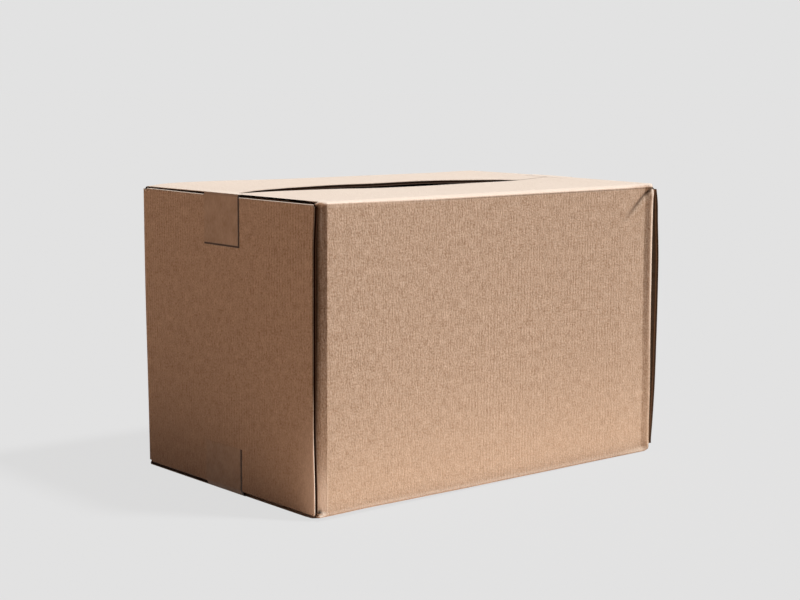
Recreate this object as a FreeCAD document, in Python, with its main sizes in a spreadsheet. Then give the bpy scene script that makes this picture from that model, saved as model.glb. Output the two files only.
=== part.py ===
"""A closed shipping box of corrugated board: one folded and glued sheet, held shut by tape.

Millimetres. X runs along the length, the front panel faces -Y and Z points up. The origin is
on the ground, under the middle of the whole box with its bowed end and its tape.
"""
import FreeCAD, Part
import math
import os
import Sketcher

V = FreeCAD.Vector
doc = FreeCAD.newDocument("carton_box")

# Sizes that are set by hand
DRIVING = {
    "length": "375",            # left end panel to right end panel, outside, at the creases
    "width": "238",             # front panel to back panel, outside
    "height": "240",            # bottom flaps to top flaps, outside
    "board": "3",               # thickness of the single-wall board
    "crease_inside": "1",       # inside radius of the upright creases
    "fold_inside": "1",         # inside radius where a flap turns in
    "outer_set_back": "2.5",    # end panel's outside to the cut side of an outer flap
    "inner_set_back": "4.5",    # long panel's outside to the cut side of an inner flap
    "ply_clearance": "0.3",     # air between an outer flap and the inner flap under it
    "seam_clearance": "1.5",    # air between the two outer flaps where they meet
    "inner_reach": "118",       # how far an inner flap reaches in from its end panel
    "tab_width": "35",          # glued tab of the front panel, inside the left end panel
    "tab_taper": "8",           # how much the tab's ends slope in
    "joint_reveal": "5.4",      # front panel's outside to the raw edge of the left end panel
    "end_bulge": "6",           # how far the right end panel bows out halfway up
    "flap_lift": "3.5",         # how far the back top flap bows up along the seam
    "lift_stop": "62",          # right end panel to where that bow dies out
    "tape_width": "50",
    "tape_shift": "3.5",        # how far the tapes lie off the middle, towards the back
    "tape_thickness": "0.2",
    "tape_reach": "20",         # how far a top tape runs in over the flaps
    "top_drop": "42",           # how far a top tape runs down its end panel
    "bottom_rise": "38",        # how far the bottom tape runs up each end panel
}

# Places worked out from them
DERIVED = {
    "left_face": "-(length + end_bulge - tape_thickness) / 2",
    "right_face": "left_face + length",
    "middle": "(left_face + right_face) / 2",
    "front_face": "-width / 2",
    "back_face": "width / 2",
    "left_inner": "left_face + board",
    "right_inner": "right_face - board",
    "front_inner": "front_face + board",
    "back_inner": "back_face - board",
    "crease_outside": "crease_inside + board",
    "fold_outside": "fold_inside + board",
    "left_bend": "left_face + fold_outside",
    "right_bend": "right_face - fold_outside",
    "front_bend": "front_face + fold_outside",
    "back_bend": "back_face - fold_outside",
    "foot": "tape_thickness",
    "roof": "foot + height",
    "foot_under": "foot + board",
    "roof_under": "roof - board",
    "foot_bend": "foot + fold_outside",
    "roof_bend": "roof - fold_outside",
    "inner_foot": "foot_under + ply_clearance",
    "inner_roof": "roof_under - ply_clearance",
    "inner_foot_under": "inner_foot + board",
    "inner_roof_under": "inner_roof - board",
    "wall_foot": "inner_foot + fold_outside",
    "wall_top": "inner_roof - fold_outside",
    "wall_height": "wall_top - wall_foot",
    "bulge_radius": "(wall_height * wall_height / 4 + end_bulge * end_bulge) / (2 * end_bulge)",
    "outer_span": "length - 2 * outer_set_back",
    "inner_span": "width - 2 * inner_set_back",
    "flap_left": "middle - outer_span / 2",
    "flap_right": "middle + outer_span / 2",
    "seam_front": "-seam_clearance / 2",
    "seam_back": "seam_clearance / 2",
    "inner_left_tip": "left_face + inner_reach",
    "inner_right_tip": "right_face - inner_reach",
    "joint_edge": "front_face + joint_reveal",
    "cut_left": "left_face - board",
    "cut_front": "front_face - board",
    "tab_tip": "front_face + tab_width",
    "tab_low": "wall_foot + tab_taper",
    "tab_high": "wall_top - tab_taper",
    "tape_left_stop": "left_face + tape_reach",
    "tape_right_stop": "right_face - tape_reach",
    "lift_left": "tape_left_stop",
    "lift_right": "right_face - lift_stop",
    "lift_chord": "lift_right - lift_left",
    "lift_radius": "(lift_chord * lift_chord / 4 + flap_lift * flap_lift) / (2 * flap_lift)",
    "wrap_across": "outer_set_back - fold_outside",
    "wrap_up": "roof - wall_top",
    "wrap_square": "wrap_across ^ 2 + wrap_up ^ 2",
    "wrap_share": "fold_outside ^ 2 / wrap_square",
    "wrap_swing": "fold_outside * sqrt(wrap_square - fold_outside ^ 2) / wrap_square",
    "touch_across": "wrap_share * wrap_across - wrap_swing * wrap_up",
    "touch_up": "wrap_share * wrap_up + wrap_swing * wrap_across",
    "touch_left": "left_bend + touch_across",
    "touch_right": "right_bend - touch_across",
    "touch_high": "wall_top + touch_up",
    "touch_low": "wall_foot - touch_up",
    "drop_end": "roof - top_drop",
    "rise_end": "foot + bottom_rise",
    "bulge_middle": "(wall_foot + wall_top) / 2",
    "bulge_centre": "right_face + end_bulge - bulge_radius",
    "drop_face": "bulge_centre + sqrt(bulge_radius ^ 2 - (drop_end - bulge_middle) ^ 2)",
    "rise_face": "bulge_centre + sqrt(bulge_radius ^ 2 - (rise_end - bulge_middle) ^ 2)",
}

sheet = doc.addObject("Spreadsheet::Sheet", "sizes")
for row, (alias, text) in enumerate([*DRIVING.items(), *DERIVED.items()], start=1):
    sheet.set(f"A{row}", alias)
    sheet.set(f"B{row}", text if alias in DRIVING else "=" + text)
    sheet.setAlias(f"B{row}", alias)
doc.recompute()


def size(alias):
    """A value of the sheet."""
    return float(sheet.get(alias))


def bind(thing, prop, alias):
    """Ties one property to a cell of the sheet."""
    thing.setExpression(prop, f"sizes.{alias}")


# Outlines are chains of lines and arcs through named places

def arc_between(start, end, radius, left_turn):
    """The short arc from start to end, and its ends' numbers in the order of travel."""
    chord = end - start
    middle = (start + end) * 0.5
    side = V(-chord.y, chord.x, 0).normalize() * (1 if left_turn else -1)
    centre = middle + side * math.sqrt(max(radius ** 2 - chord.Length ** 2 / 4, 0))
    low, high = (start, end) if left_turn else (end, start)
    circle = Part.Circle(centre, V(0, 0, 1), radius)
    angles = [math.atan2(p.y - centre.y, p.x - centre.x) for p in (low, high)]
    return Part.ArcOfCircle(circle, *angles), ((1, 2) if left_turn else (2, 1))


def pin(sketch, item, end, place):
    """Holds one end of a sketch item at a named place, measured from the sketch's origin."""
    for kind, alias in zip(("DistanceX", "DistanceY"), place):
        number = sketch.addConstraint(Sketcher.Constraint(kind, -1, 1, item, end, size(alias)))
        bind(sketch, f"Constraints[{number}]", alias)


def chain(sketch, steps, closed):
    """Draws lines and arcs from place to place.

    A step is (across, up) for a line to it, or (across, up, radius, turn) for an arc to it.
    """
    places = [V(size(step[0]), size(step[1]), 0) for step in steps]
    drawn = []
    for number in range(0 if closed else 1, len(steps)):
        step = steps[number]
        start, end = places[number - 1], places[number]
        if len(step) == 2:
            item = sketch.addGeometry(Part.LineSegment(start, end))
            drawn.append((item, 1, 2, step))
        else:
            curve, (first, last) = arc_between(start, end, size(step[2]), step[3] == "left")
            item = sketch.addGeometry(curve)
            drawn.append((item, first, last, step))
            radius = sketch.addConstraint(Sketcher.Constraint("Radius", item, size(step[2])))
            bind(sketch, f"Constraints[{radius}]", step[2])
    for (item, _, last, step), (following, first, _, _) in zip(drawn, drawn[1:] + drawn[:1]):
        pin(sketch, item, last, step[:2])
        if closed or following != drawn[0][0]:
            sketch.addConstraint(Sketcher.Constraint("Coincident", item, last, following, first))
    if not closed:
        pin(sketch, drawn[0][0], drawn[0][1], steps[0][:2])


def sketch_on(body, role, name, steps, along=None):
    """A closed outline on one of the body's own planes, moved along its normal to a named place."""
    plane = next(p for p in body.Origin.OriginFeatures if p.Role == role)
    sketch = body.newObject("Sketcher::SketchObject", name)
    sketch.AttachmentSupport = [(plane, "")]
    sketch.MapMode = "FlatFace"
    chain(sketch, steps, closed=True)
    if along:
        sketch.setExpression("AttachmentOffset.Base.z", along)
    return sketch


def band(body, kind, role, name, steps, span, along=None):
    """A pad or a pocket of one outline, of a named span, half to each side of its sketch."""
    sketch = sketch_on(body, role, name + "_outline", steps, along)
    feature = body.newObject(f"PartDesign::{kind}", name)
    feature.Profile = sketch
    feature.Midplane = True
    bind(feature, "Length", span)
    doc.recompute()
    return feature


def upright_edges(feature, places):
    """The names of the feature's upright edges whose middles lie nearest the given (x, y) places."""
    edges = feature.Shape.Edges
    tall = [n for n, edge in enumerate(edges) if edge.BoundBox.ZLength > size("wall_height") * 0.9]
    names = []
    for x, y in places:
        corner = V(x, y, size("bulge_middle"))
        vertex = Part.Vertex(corner)
        nearest = min(tall, key=lambda n: edges[n].distToShape(vertex)[0])
        names.append(f"Edge{nearest + 1}")
    return names


def round_edges(body, name, base, places, radius):
    """Rounds upright corners to a named radius."""
    feature = body.newObject("PartDesign::Fillet", name)
    feature.Base = (base, upright_edges(base, places))
    bind(feature, "Radius", radius)
    doc.recompute()
    return feature


# The folded and glued sheet
carton = doc.addObject("PartDesign::Body", "carton_body")
carton.Label = "carton"

# Four panels standing between the folds, the right one bowed out
band(carton, "Pad", "XZ_Plane", "panels_outside", [
    ("left_face", "wall_foot"),
    ("right_face", "wall_foot"),
    ("right_face", "wall_top", "bulge_radius", "left"),
    ("left_face", "wall_top"),
], "width")
inside = sketch_on(carton, "XZ_Plane", "panels_inside_outline", [
    ("left_inner", "wall_foot"),
    ("right_inner", "wall_foot"),
    ("right_inner", "wall_top", "bulge_radius", "left"),
    ("left_inner", "wall_top"),
])
hollow = carton.newObject("PartDesign::Pocket", "panels_inside")
hollow.Profile = inside
hollow.Midplane = True
hollow.setExpression("Length", "sizes.width - 2 * sizes.board")
doc.recompute()

# The glued joint: the left end panel stops short, and the front panel's tab runs behind it
groove_sketch = sketch_on(carton, "XY_Plane", "joint_groove_outline", [
    ("cut_left", "cut_front"),
    ("left_inner", "cut_front"),
    ("left_inner", "joint_edge"),
    ("cut_left", "joint_edge"),
])
groove = carton.newObject("PartDesign::Pocket", "joint_groove")
groove.Profile = groove_sketch
groove.Type = "ThroughAll"
groove.Midplane = True
doc.recompute()
tab_sketch = sketch_on(carton, "YZ_Plane", "glue_tab_outline", [
    ("front_face", "wall_foot"),
    ("tab_tip", "tab_low"),
    ("tab_tip", "tab_high"),
    ("front_face", "wall_top"),
], along="sizes.left_inner")
tab = carton.newObject("PartDesign::Pad", "glue_tab")
tab.Profile = tab_sketch
bind(tab, "Length", "board")
doc.recompute()

outside_corners = [
    (size("left_inner"), size("front_face")),
    (size("right_face") + size("end_bulge"), size("front_face")),
    (size("right_face") + size("end_bulge"), size("back_face")),
    (size("left_face"), size("back_face")),
]
inside_corners = [
    (size("left_inner") + size("board"), size("front_inner")),
    (size("right_inner") + size("end_bulge"), size("front_inner")),
    (size("right_inner") + size("end_bulge"), size("back_inner")),
    (size("left_inner"), size("back_inner")),
]
creases = round_edges(carton, "creases_outside", tab, outside_corners, "crease_outside")
round_edges(carton, "creases_inside", creases, inside_corners, "crease_inside")


def outer_fold(name, face, inner, bend, wall, level, under, turn_level, seam, turns):
    """An outer flap with its fold: up its panel, round, and level to the seam."""
    first, second = turns
    return band(carton, "Pad", "YZ_Plane", name, [
        (face, wall),
        (face, turn_level),
        (bend, level, "fold_outside", first),
        (seam, level),
        (seam, under),
        (bend, under),
        (inner, turn_level, "fold_inside", second),
        (inner, wall),
    ], "outer_span", along="sizes.middle")


def inner_fold(name, face, inner, bend, level, under, wall, tip, turns):
    """An inner flap with its fold: round from its end panel, and level to its tip."""
    first, second = turns
    return band(carton, "Pad", "XZ_Plane", name, [
        (face, wall),
        (bend, level, "fold_outside", first),
        (tip, level),
        (tip, under),
        (bend, under),
        (inner, wall, "fold_inside", second),
    ], "inner_span")


RIGHT_THEN_LEFT, LEFT_THEN_RIGHT = ("right", "left"), ("left", "right")
inner_fold("inner_flap_top_left", "left_face", "left_inner", "left_bend",
           "inner_roof", "inner_roof_under", "wall_top", "inner_left_tip", RIGHT_THEN_LEFT)
inner_fold("inner_flap_top_right", "right_face", "right_inner", "right_bend",
           "inner_roof", "inner_roof_under", "wall_top", "inner_right_tip", LEFT_THEN_RIGHT)
inner_fold("inner_flap_bottom_left", "left_face", "left_inner", "left_bend",
           "inner_foot", "inner_foot_under", "wall_foot", "inner_left_tip", LEFT_THEN_RIGHT)
inner_fold("inner_flap_bottom_right", "right_face", "right_inner", "right_bend",
           "inner_foot", "inner_foot_under", "wall_foot", "inner_right_tip", RIGHT_THEN_LEFT)

outer_fold("outer_flap_bottom_front", "front_face", "front_inner", "front_bend",
           "wall_foot", "foot", "foot_under", "foot_bend", "seam_front", LEFT_THEN_RIGHT)
outer_fold("outer_flap_bottom_back", "back_face", "back_inner", "back_bend",
           "wall_foot", "foot", "foot_under", "foot_bend", "seam_back", RIGHT_THEN_LEFT)
outer_fold("outer_flap_top_front", "front_face", "front_inner", "front_bend",
           "wall_top", "roof", "roof_under", "roof_bend", "seam_front", RIGHT_THEN_LEFT)

# The back top flap turns in like the others, and then bows up towards the seam
band(carton, "Pad", "YZ_Plane", "outer_flap_top_back_fold", [
    ("back_face", "wall_top"),
    ("back_face", "roof_bend"),
    ("back_bend", "roof", "fold_outside", "left"),
    ("back_bend", "roof_under"),
    ("back_inner", "roof_bend", "fold_inside", "right"),
    ("back_inner", "wall_top"),
], "outer_span", along="sizes.middle")
level_section = sketch_on(carton, "XZ_Plane", "flap_at_its_fold", [
    ("flap_left", "roof_under"),
    ("lift_left", "roof_under"),
    ("lift_right", "roof_under"),
    ("flap_right", "roof_under"),
    ("flap_right", "roof"),
    ("lift_right", "roof"),
    ("lift_left", "roof"),
    ("flap_left", "roof"),
], along="-sizes.back_bend")
bowed_section = sketch_on(carton, "XZ_Plane", "flap_at_the_seam", [
    ("flap_left", "roof_under"),
    ("lift_left", "roof_under"),
    ("lift_right", "roof_under", "lift_radius", "right"),
    ("flap_right", "roof_under"),
    ("flap_right", "roof"),
    ("lift_right", "roof"),
    ("lift_left", "roof", "lift_radius", "left"),
    ("flap_left", "roof"),
], along="-sizes.seam_back")
lifted = carton.newObject("PartDesign::AdditiveLoft", "outer_flap_top_back")
lifted.Profile = level_section
lifted.Sections = [bowed_section]
lifted.Ruled = True
doc.recompute()


# A tape lies on the flaps, leaps from a flap's cut end to the fold below it, and follows the panel

def tape(label, steps):
    """A strip of tape on a chain of lines and arcs along the skin of the box."""
    path = doc.addObject("Sketcher::SketchObject", label + "_path")
    path.Placement = FreeCAD.Placement(V(), FreeCAD.Rotation(V(1, 0, 0), 90))
    bind(path, "Placement.Base.y", "tape_shift")
    chain(path, steps, closed=False)
    section = doc.addObject("Part::Offset2D", label + "_section")
    section.Source = path
    section.Mode = "Skin"
    section.Join = "Intersection"
    section.Fill = True
    section.setExpression("Value", "-sizes.tape_thickness")
    strip = doc.addObject("Part::Extrusion", label + "_strip")
    strip.Label = label
    strip.Base = section
    strip.DirMode = "Custom"
    strip.Dir = V(0, 1, 0)
    strip.Symmetric = True
    strip.Solid = True
    bind(strip, "LengthFwd", "tape_width")
    doc.recompute()
    return strip


top_left_tape = tape("top_tape_left", [
    ("tape_left_stop", "roof"),
    ("flap_left", "roof"),
    ("touch_left", "touch_high"),
    ("left_face", "wall_top", "fold_outside", "left"),
    ("left_face", "drop_end"),
])
top_right_tape = tape("top_tape_right", [
    ("drop_face", "drop_end"),
    ("right_face", "wall_top", "bulge_radius", "left"),
    ("touch_right", "touch_high", "fold_outside", "left"),
    ("flap_right", "roof"),
    ("tape_right_stop", "roof"),
])
bottom_tape = tape("bottom_tape", [
    ("left_face", "rise_end"),
    ("left_face", "wall_foot"),
    ("touch_left", "touch_low", "fold_outside", "left"),
    ("flap_left", "foot"),
    ("flap_right", "foot"),
    ("touch_right", "touch_low"),
    ("right_face", "wall_foot", "fold_outside", "left"),
    ("rise_face", "rise_end", "bulge_radius", "left"),
])

doc.recompute()
for thing in doc.Objects:
    if {"Invalid", "Error"} & set(thing.State):
        raise RuntimeError(f"{thing.Name} did not build: {thing.State}")
nodes = [carton, top_left_tape, top_right_tape, bottom_tape]
for node in nodes:
    shape = node.Shape
    if shape.isNull() or not shape.isValid() or len(shape.Solids) != 1:
        raise RuntimeError(f"{node.Label} is not one sound solid")

os.makedirs("parts", exist_ok=True)
for node in nodes:
    node.Shape.exportStep(f"parts/{node.Label}.step")
    box = node.Shape.BoundBox
    print(f"{node.Label}: {node.Shape.Volume / 1000:.2f} cm3,",
          f"x {box.XMin:.2f} to {box.XMax:.2f}, y {box.YMin:.2f} to {box.YMax:.2f},",
          f"z {box.ZMin:.2f} to {box.ZMax:.2f}")
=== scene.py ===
# %% [markdown]
# # A closed cardboard box, taped shut
# The box is one sheet of corrugated board, cut as a flat blank, creased, folded round and glued at
# one corner. Its flaps are folded shut and held by strips of brown paper tape. The lesson dresses the
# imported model: it loads the frame first, so that every new surface can take its place from it.

# %% Load the frame
import bpy
import numpy as np
from mathutils import Matrix, Vector


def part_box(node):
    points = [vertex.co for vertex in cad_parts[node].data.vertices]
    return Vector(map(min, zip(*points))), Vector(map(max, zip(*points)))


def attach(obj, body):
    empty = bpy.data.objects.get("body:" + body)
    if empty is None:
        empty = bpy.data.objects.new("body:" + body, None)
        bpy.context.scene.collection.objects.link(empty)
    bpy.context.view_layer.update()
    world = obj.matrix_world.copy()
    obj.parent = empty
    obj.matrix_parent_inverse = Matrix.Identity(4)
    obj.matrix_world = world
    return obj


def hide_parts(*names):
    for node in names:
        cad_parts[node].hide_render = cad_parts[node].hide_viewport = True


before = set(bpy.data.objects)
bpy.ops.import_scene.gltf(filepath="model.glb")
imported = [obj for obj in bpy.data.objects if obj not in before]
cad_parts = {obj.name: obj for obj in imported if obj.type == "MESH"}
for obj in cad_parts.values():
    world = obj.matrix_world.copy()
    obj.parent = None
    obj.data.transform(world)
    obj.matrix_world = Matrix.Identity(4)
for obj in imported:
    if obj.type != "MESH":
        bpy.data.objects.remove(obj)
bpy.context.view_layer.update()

# %% [markdown]
# ## The camera
# The photograph looks at the near left corner from a little above the box. The camera was fitted to
# the box's own edges, so its place, its turn and its lens are plain numbers here. A camera looks
# along its own minus Z, so its matrix is built from three directions: right, up and backwards.

# %% Set the camera
MM = 0.001
CAMERA_PLACE = Vector((-904.2, -1043.5, 327.3)) * MM
CAMERA_YAW = np.radians(40.652)
CAMERA_PITCH = np.radians(7.745)
CAMERA_ROLL = np.radians(0.372)
LENS = 72.17
SENSOR_WIDTH = 36
FAR_LIMIT = 50

forward = Vector((np.sin(CAMERA_YAW) * np.cos(CAMERA_PITCH),
                  np.cos(CAMERA_YAW) * np.cos(CAMERA_PITCH), -np.sin(CAMERA_PITCH)))
level = Vector((np.cos(CAMERA_YAW), -np.sin(CAMERA_YAW), 0))
raised = level.cross(forward)
right = level * np.cos(CAMERA_ROLL) + raised * np.sin(CAMERA_ROLL)
up = raised * np.cos(CAMERA_ROLL) - level * np.sin(CAMERA_ROLL)

camera = bpy.data.objects.new("camera", bpy.data.cameras.new("camera"))
camera.data.lens = LENS
camera.data.sensor_width = SENSOR_WIDTH
camera.data.clip_end = FAR_LIMIT
axes = Matrix((right, up, -forward)).transposed().to_4x4()
camera.matrix_world = Matrix.Translation(CAMERA_PLACE) @ axes
bpy.context.scene.collection.objects.link(camera)
bpy.context.scene.camera = camera
print("Camera", [round(c / MM) for c in CAMERA_PLACE], "mm, lens", LENS, "mm")

# %% [markdown]
# ## Sizes from the frame
# The carton's solid and the tapes' solids say where every face of the box lies. The board is 3 mm
# thick and is pressed down to less than half of that where it is creased. The right end panel stands
# out in a shallow bow, so the corner crease lies inside the carton's own highest x.

# %% Read the sizes
low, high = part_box("carton")
tape_low, tape_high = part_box("top_tape_left")
BOARD = 3.0 * MM
BULGE = 6.0 * MM
TAPE = 0.2 * MM
LEFT, FRONT, BACK, FOOT = low.x, low.y, high.y, low.z
RIGHT = high.x - BULGE
ROOF = tape_high.z - TAPE
PLY_GAP = 0.3 * MM
FOLD = 1.7 * MM
INNER_ROOF = ROOF - BOARD - PLY_GAP
INNER_FOOT = FOOT + BOARD + PLY_GAP
WALL_TOP = INNER_ROOF - FOLD
WALL_FOOT = INNER_FOOT + FOLD
SET_BACK = 2.5 * MM
SIDE_SET_BACK = 4.5 * MM
SEAM_GAP = 1.5 * MM
INNER_REACH = 118 * MM
print("Walls from", round(LEFT / MM, 1), "to", round(RIGHT / MM, 1), "mm, roof", round(ROOF / MM, 1), "mm")

# %% [markdown]
# ## Helpers for paths and grids
# Board and tape both follow a path of straight runs joined by arcs. A path is drawn by its corner
# points and a radius at each. Marks along it become the columns or the rows of a grid, with more
# marks where the surface turns quickly.

# %% Make paths and marks
ARC_POINTS = 7


def rounded_path(corners, radii):
    """Straight runs joined by arcs. Each run stops short of its corner by the radius times the tangent
    of half the turn, and the arc's two arms from its centre are blended by sines of their angles."""
    corners = np.asarray(corners, float)
    parts = [corners[:1]]
    for before, corner, after, radius in zip(corners[:-2], corners[1:-1], corners[2:], radii):
        into = (corner - before) / np.linalg.norm(corner - before)
        out = (after - corner) / np.linalg.norm(after - corner)
        half = np.arccos(np.clip(into @ out, -1, 1)) / 2
        first = corner - into * radius * np.tan(half)
        last = corner + out * radius * np.tan(half)
        centre = corner + (out - into) / np.linalg.norm(out - into) * radius / np.cos(half)
        turn = np.linspace(0, 1, ARC_POINTS)[:, None] * 2 * half
        arms = np.sin(2 * half - turn) * (first - centre) + np.sin(turn) * (last - centre)
        parts.append(centre + arms / np.sin(2 * half))
    parts.append(corners[-1:])
    return np.concatenate(parts)


def distances(path):
    """How far along the path each of its points lies: the running sum of its steps."""
    return np.concatenate([[0], np.cumsum(np.linalg.norm(np.diff(path, axis=0), axis=1))])


def marks(stops, pitch):
    """The stops in order, with even marks between them so that no gap is wider than the pitch."""
    stops = np.unique(np.round(stops, 7))
    gaps = zip(stops[:-1], stops[1:])
    spans = [np.linspace(a, b, int(np.ceil((b - a) / pitch)) + 1) for a, b in gaps]
    return np.unique(np.round(np.concatenate(spans), 7))


def smooth(x, start, end):
    """Rises from 0 at start to 1 at end with a level tangent at both: 3 t squared less 2 t cubed."""
    t = np.clip((x - start) / (end - start), 0, 1)
    return t * t * (3 - 2 * t)


def hump(x, middle, width):
    """A bell: e to the minus square of the distance from the middle over the width."""
    return np.exp(-((x - middle) / width) ** 2)


def curve(x, stops, heights):
    """A cubic between the stops, whose slope at each stop is that of the line between its neighbours:
    (1 + 2t)(1 - t)^2 a + t^2 (3 - 2t) b + t (1 - t)^2 w sa - t^2 (1 - t) w sb, for a gap of width w."""
    stops, heights = np.asarray(stops) * MM, np.asarray(heights) * MM
    slopes = np.gradient(heights, stops)
    k = np.clip(np.searchsorted(stops, x) - 1, 0, len(stops) - 2)
    width = stops[k + 1] - stops[k]
    t = np.clip((x - stops[k]) / width, 0, 1)
    ends = (1 + 2 * t) * (1 - t) ** 2 * heights[k] + t * t * (3 - 2 * t) * heights[k + 1]
    return ends + t * (1 - t) ** 2 * width * slopes[k] - t * t * (1 - t) * width * slopes[k + 1]


# %% [markdown]
# ## A closed sheet from two grids
# A sheet of board or tape has an outer skin, an inner skin and raw edges. Both skins are grids with
# the same cells, and cells can be left out, as a slot is cut from a blank. A side that belongs to one
# cell only is a raw edge. There a chain of points leads from the outer skin to the inner one, and for
# board the chain dips inwards, because a cut edge of corrugated board is two liners and hollow flutes.

# %% Build closed sheets
# The inner skin's ring along a raw edge takes painted shade too, as the cut edge's hollow does.
INNER_EDGE_SHADE = 0.7
SHARP_TURN = np.radians(50)


def unit(v):
    """The vectors at length one."""
    return v / np.maximum(np.linalg.norm(v, axis=-1, keepdims=True), 1e-12)


def closed_sheet(outer, inner, kept, chain, uv, paint):
    """Points, faces, texture places and paints of a closed sheet. Outer and inner are grids of points,
    kept says which cells exist, and the chain is a list of (share of the depth, inset, painted shade of
    the cut edge)."""
    count = outer.shape[0] * outer.shape[1]
    number = np.arange(count).reshape(outer.shape[:2])
    cells = np.stack([number[:-1, :-1], number[1:, :-1], number[1:, 1:], number[:-1, 1:]], axis=-1)[kept]
    skin, lining = outer.reshape(-1, 3), inner.reshape(-1, 3)
    sides = np.stack([cells, np.roll(cells, -1, axis=1)], axis=-1).reshape(-1, 2)
    key = sides.min(axis=1) * count + sides.max(axis=1)
    index, times = np.unique(key, return_index=True, return_counts=True)[1:]
    once = index[times == 1]
    raw = sides[once]
    run = unit(skin[raw[:, 1]] - skin[raw[:, 0]])
    across = np.repeat(skin[cells].mean(axis=1), 4, axis=0)[once] - skin[raw].mean(axis=1)
    across = unit(across - run * (across * run).sum(axis=1, keepdims=True))
    inward = np.zeros_like(skin)
    np.add.at(inward, raw[:, 0], across)
    np.add.at(inward, raw[:, 1], across)
    rim = np.unique(raw)
    inward = unit(inward[rim])
    place = np.searchsorted(rim, raw)
    levels = [raw] + [place + 2 * count + k * len(rim) for k in range(len(chain))] + [raw + count]
    points = [skin, lining] + [skin[rim] * (1 - depth) + lining[rim] * depth + inward * inset
                               for depth, inset, cut in chain]
    faces = [cells, cells[:, ::-1] + count]
    faces += [np.stack([a[:, 1], a[:, 0], b[:, 0], b[:, 1]], axis=1) for a, b in zip(levels, levels[1:])]
    flat_uv = uv.reshape(-1, 2)
    places = [flat_uv, flat_uv] + [flat_uv[rim]] * len(chain)
    paints = {name: np.concatenate([p.ravel(), p.ravel()] + [p.ravel()[rim]] * len(chain))
              for name, p in paint.items()}
    paints["lining"] = np.concatenate([np.zeros(count), np.ones(count), np.zeros(len(chain) * len(rim))])
    paints["cut"] = np.concatenate([np.zeros(2 * count)] + [np.full(len(rim), cut) for _, _, cut in chain])
    paints["cut"][rim + count] = INNER_EDGE_SHADE
    return np.concatenate(points), np.concatenate(faces), np.concatenate(places), paints


def make_piece(name, sheet):
    """Puts a closed sheet into a mesh: only the points in use, four corners to a face, a texture map
    called blank, and each paint as a number on every point."""
    points, faces, places, paints = sheet
    used, corners = np.unique(faces, return_inverse=True)
    corners = corners.reshape(-1).astype(np.int32)
    mesh = bpy.data.meshes.new(name)
    mesh.vertices.add(len(used))
    mesh.vertices.foreach_set("co", points[used].astype(np.float32).ravel())
    mesh.loops.add(len(corners))
    mesh.loops.foreach_set("vertex_index", corners)
    mesh.polygons.add(len(corners) // 4)
    mesh.polygons.foreach_set("loop_start", np.arange(0, len(corners), 4, dtype=np.int32))
    mesh.update(calc_edges=True)
    mesh.shade_smooth()
    mesh.set_sharp_from_angle(angle=SHARP_TURN)
    layer = mesh.uv_layers.new(name="blank")
    layer.uv.foreach_set("vector", places[used][corners].astype(np.float32).ravel())
    for paint, values in paints.items():
        attribute = mesh.attributes.new(paint, "FLOAT", "POINT")
        attribute.data.foreach_set("value", values[used].astype(np.float32))
    piece = bpy.data.objects.new(name, mesh)
    bpy.context.scene.collection.objects.link(piece)
    print(name, len(used), "points,", len(corners) // 4, "faces")
    return piece


# %% [markdown]
# ## The girth: the blank's way round the box
# Seen from above, the board starts at the glue tab inside the left end, turns at the near left
# corner, and runs along the front, the right end, the back and the left end to its raw edge, which
# stops short of the corner. The near left corner is two flat facets where the crease was pressed
# twice. At the right corner the front dips beside the crease, rises to a worn ridge and falls into a
# groove, from which the bowed end panel swells out.

# %% Draw the girth
TAB_WIDTH = 35 * MM
JOINT_REVEAL = 5.4 * MM
TAB_FACE = LEFT + BOARD
girth_corners = [
    (TAB_FACE, FRONT + TAB_WIDTH),
    (TAB_FACE, FRONT + 5.6 * MM),
    (LEFT + 5.8 * MM, FRONT + 3.0 * MM),
    (LEFT + 9.5 * MM, FRONT + 0.1 * MM),
    (RIGHT - 40 * MM, FRONT + 0.4 * MM),
    (RIGHT - 10.1 * MM, FRONT + 2.5 * MM),
    (RIGHT - 4.6 * MM, FRONT),
    (RIGHT - 1.0 * MM, FRONT + 0.9 * MM),
    (RIGHT - 0.8 * MM, FRONT + 3.2 * MM),
    (RIGHT + 2.4 * MM, FRONT - 0.4 * MM),
    (RIGHT, FRONT + 8.0 * MM),
    (RIGHT, BACK),
    (LEFT, BACK),
    (LEFT, FRONT + JOINT_REVEAL),
]
girth_radii = np.array([0.9, 0.6, 0.5, 60, 2.0, 0.7, 0.4, 0.4, 0.5, 2.0, 2.5, 1.6]) * MM
girth = rounded_path(girth_corners, girth_radii)
girth_at = distances(girth)
ROUND = girth_at[-1]
print("The blank is", round(ROUND / MM), "mm round")

# %% [markdown]
# ## Columns round the blank
# The grid's columns are places along the girth and its rows are places up the blank, from the tip of
# a bottom flap, over its fold, up the wall, over the top fold and to the tip of a top flap. The panel
# that a column belongs to says where its flap folds and how far it reaches. A span says from where to
# where a panel has its flaps, and the tab in front of the first corner has none.

# %% Mark the columns
def girth_mark(panel_axis, value, start, end):
    """How far round the girth a panel's x or y reaches a value, between two of the girth's marks."""
    part = (girth_at >= start) & (girth_at <= end)
    order = np.argsort(girth[part][:, panel_axis])
    return np.interp(value, girth[part][order, panel_axis], girth_at[part][order])


def corner_mark(corner):
    """How far round the girth the nearest point to a corner lies."""
    return girth_at[np.argmin(np.linalg.norm(girth - np.asarray(corner), axis=1))]


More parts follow.
